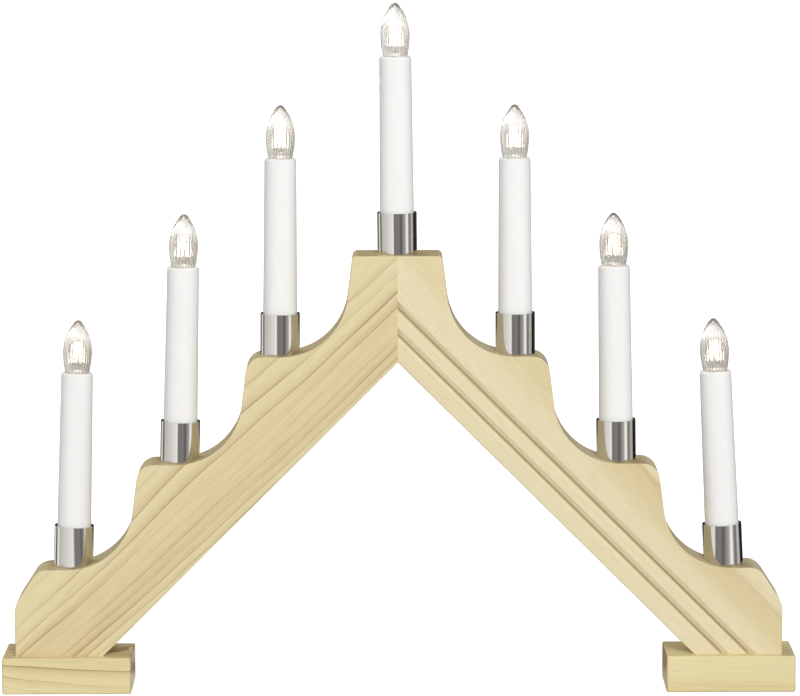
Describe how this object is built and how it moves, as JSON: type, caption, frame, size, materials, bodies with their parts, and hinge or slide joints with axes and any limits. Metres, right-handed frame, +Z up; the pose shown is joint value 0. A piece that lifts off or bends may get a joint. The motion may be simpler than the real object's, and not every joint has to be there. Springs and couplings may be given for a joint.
{
  "type": "electric candle arch",
  "caption": "Wooden candle arch on two foot blocks: stepped pine arms mitred at the peak carry electric candles with steel cups, white sleeves and flame-shaped screw lamps.",
  "frame": {"origin": "on the table, below the middle of the arch", "axes": "+X along the arch to the right as seen from the front, -Y to the front, +Z up"},
  "size_m": [0.41, 0.038, 0.3553],
  "materials": {
    "pine": "clear lacquered pine",
    "beech": "plain beech dowel",
    "steel_cup": "polished drawn sheet",
    "screw_steel": "zinc plated",
    "sleeve_white": "smooth, a little glossy",
    "holder_plastic": "moulded",
    "contact_brass": "bare sheet",
    "cap_nickel": "nickel plated sheet",
    "insulator": "dark glass insulator with a solder contact",
    "clear_glass": "clear, finely ribbed",
    "stem_glass": "clear stem with leads and filament",
    "wire_jacket": "PVC"
  },
  "bodies": {
    "arch": {"arm_left": "pine", "arm_right": "pine", "foot_left": "pine", "foot_right": "pine", "mitre_dowels": "beech", "foot_screws": "screw_steel", "screw_shells": "contact_brass", "centre_contacts": "contact_brass", "lamp_wires": "wire_jacket", "cup_1": "steel_cup", "candle_sleeve_1": "sleeve_white", "lampholder_1": "holder_plastic", "cup_2": "steel_cup", "candle_sleeve_2": "sleeve_white", "lampholder_2": "holder_plastic", "cup_3": "steel_cup", "candle_sleeve_3": "sleeve_white", "lampholder_3": "holder_plastic", "cup_4": "steel_cup", "candle_sleeve_4": "sleeve_white", "lampholder_4": "holder_plastic", "cup_5": "steel_cup", "candle_sleeve_5": "sleeve_white", "lampholder_5": "holder_plastic", "cup_6": "steel_cup", "candle_sleeve_6": "sleeve_white", "lampholder_6": "holder_plastic", "cup_7": "steel_cup", "candle_sleeve_7": "sleeve_white", "lampholder_7": "holder_plastic"},
    "lamp_1_end": {"lamp_end_1": "insulator"},
    "lamp_1": {"lamp_glass_1": "clear_glass", "lamp_cap_1": "cap_nickel", "lamp_filament_1": "stem_glass"},
    "lamp_2_end": {"lamp_end_2": "insulator"},
    "lamp_2": {"lamp_glass_2": "clear_glass", "lamp_cap_2": "cap_nickel", "lamp_filament_2": "stem_glass"},
    "lamp_3_end": {"lamp_end_3": "insulator"},
    "lamp_3": {"lamp_glass_3": "clear_glass", "lamp_cap_3": "cap_nickel", "lamp_filament_3": "stem_glass"},
    "lamp_4_end": {"lamp_end_4": "insulator"},
    "lamp_4": {"lamp_glass_4": "clear_glass", "lamp_cap_4": "cap_nickel", "lamp_filament_4": "stem_glass"},
    "lamp_5_end": {"lamp_end_5": "insulator"},
    "lamp_5": {"lamp_glass_5": "clear_glass", "lamp_cap_5": "cap_nickel", "lamp_filament_5": "stem_glass"},
    "lamp_6_end": {"lamp_end_6": "insulator"},
    "lamp_6": {"lamp_glass_6": "clear_glass", "lamp_cap_6": "cap_nickel", "lamp_filament_6": "stem_glass"},
    "lamp_7_end": {"lamp_end_7": "insulator"},
    "lamp_7": {"lamp_glass_7": "clear_glass", "lamp_cap_7": "cap_nickel", "lamp_filament_7": "stem_glass"}
  },
  "joints": [
    {"name": "lamp_1_lift", "type": "slide", "parent": "arch", "child": "lamp_1_end", "axis": [0.0332, 0, 0.9995], "range_m": [0, 0.0073]},
    {"name": "lamp_1_turn", "type": "hinge", "parent": "lamp_1_end", "child": "lamp_1", "pos_m": [-0.16588, 0, 0.14945], "axis": [0.0332, 0, 0.9995], "range_deg": [0, 1440]},
    {"name": "lamp_2_lift", "type": "slide", "parent": "arch", "child": "lamp_2_end", "axis": [0.0279, 0, 0.9996], "range_m": [0, 0.0073]},
    {"name": "lamp_2_turn", "type": "hinge", "parent": "lamp_2_end", "child": "lamp_2", "pos_m": [-0.11053, 0, 0.20417], "axis": [0.0279, 0, 0.9996], "range_deg": [0, 1440]},
    {"name": "lamp_3_lift", "type": "slide", "parent": "arch", "child": "lamp_3_end", "axis": [0.0087, 0, 1], "range_m": [0, 0.0073]},
    {"name": "lamp_3_turn", "type": "hinge", "parent": "lamp_3_end", "child": "lamp_3", "pos_m": [-0.05986, 0, 0.26], "axis": [0.0087, 0, 1], "range_deg": [0, 1440]},
    {"name": "lamp_4_lift", "type": "slide", "parent": "arch", "child": "lamp_4_end", "axis": [-0.007, 0, 1], "range_m": [0, 0.0073]},
    {"name": "lamp_4_turn", "type": "hinge", "parent": "lamp_4_end", "child": "lamp_4", "pos_m": [-0.00059, 0, 0.312], "axis": [-0.007, 0, 1], "range_deg": [0, 1440]},
    {"name": "lamp_5_lift", "type": "slide", "parent": "arch", "child": "lamp_5_end", "axis": [-0.0035, 0, 1], "range_m": [0, 0.0073]},
    {"name": "lamp_5_turn", "type": "hinge", "parent": "lamp_5_end", "child": "lamp_5", "pos_m": [0.0603, 0, 0.26], "axis": [-0.0035, 0, 1], "range_deg": [0, 1440]},
    {"name": "lamp_6_lift", "type": "slide", "parent": "arch", "child": "lamp_6_end", "axis": [-0.0157, 0, 0.9999], "range_m": [0, 0.0073]},
    {"name": "lamp_6_turn", "type": "hinge", "parent": "lamp_6_end", "child": "lamp_6", "pos_m": [0.11156, 0, 0.20419], "axis": [-0.0157, 0, 0.9999], "range_deg": [0, 1440]},
    {"name": "lamp_7_lift", "type": "slide", "parent": "arch", "child": "lamp_7_end", "axis": [-0.0488, 0, 0.9988], "range_m": [0, 0.0073]},
    {"name": "lamp_7_turn", "type": "hinge", "parent": "lamp_7_end", "child": "lamp_7", "pos_m": [0.16455, 0, 0.1494], "axis": [-0.0488, 0, 0.9988], "range_deg": [0, 1440]}
  ],
  "couplings": [
    {"joint": "lamp_1_lift", "follows": "lamp_1_turn", "m_per_rad": 0.00028871},
    {"joint": "lamp_2_lift", "follows": "lamp_2_turn", "m_per_rad": 0.00028871},
    {"joint": "lamp_3_lift", "follows": "lamp_3_turn", "m_per_rad": 0.00028871},
    {"joint": "lamp_4_lift", "follows": "lamp_4_turn", "m_per_rad": 0.00028871},
    {"joint": "lamp_5_lift", "follows": "lamp_5_turn", "m_per_rad": 0.00028871},
    {"joint": "lamp_6_lift", "follows": "lamp_6_turn", "m_per_rad": 0.00028871},
    {"joint": "lamp_7_lift", "follows": "lamp_7_turn", "m_per_rad": 0.00028871}
  ]
}
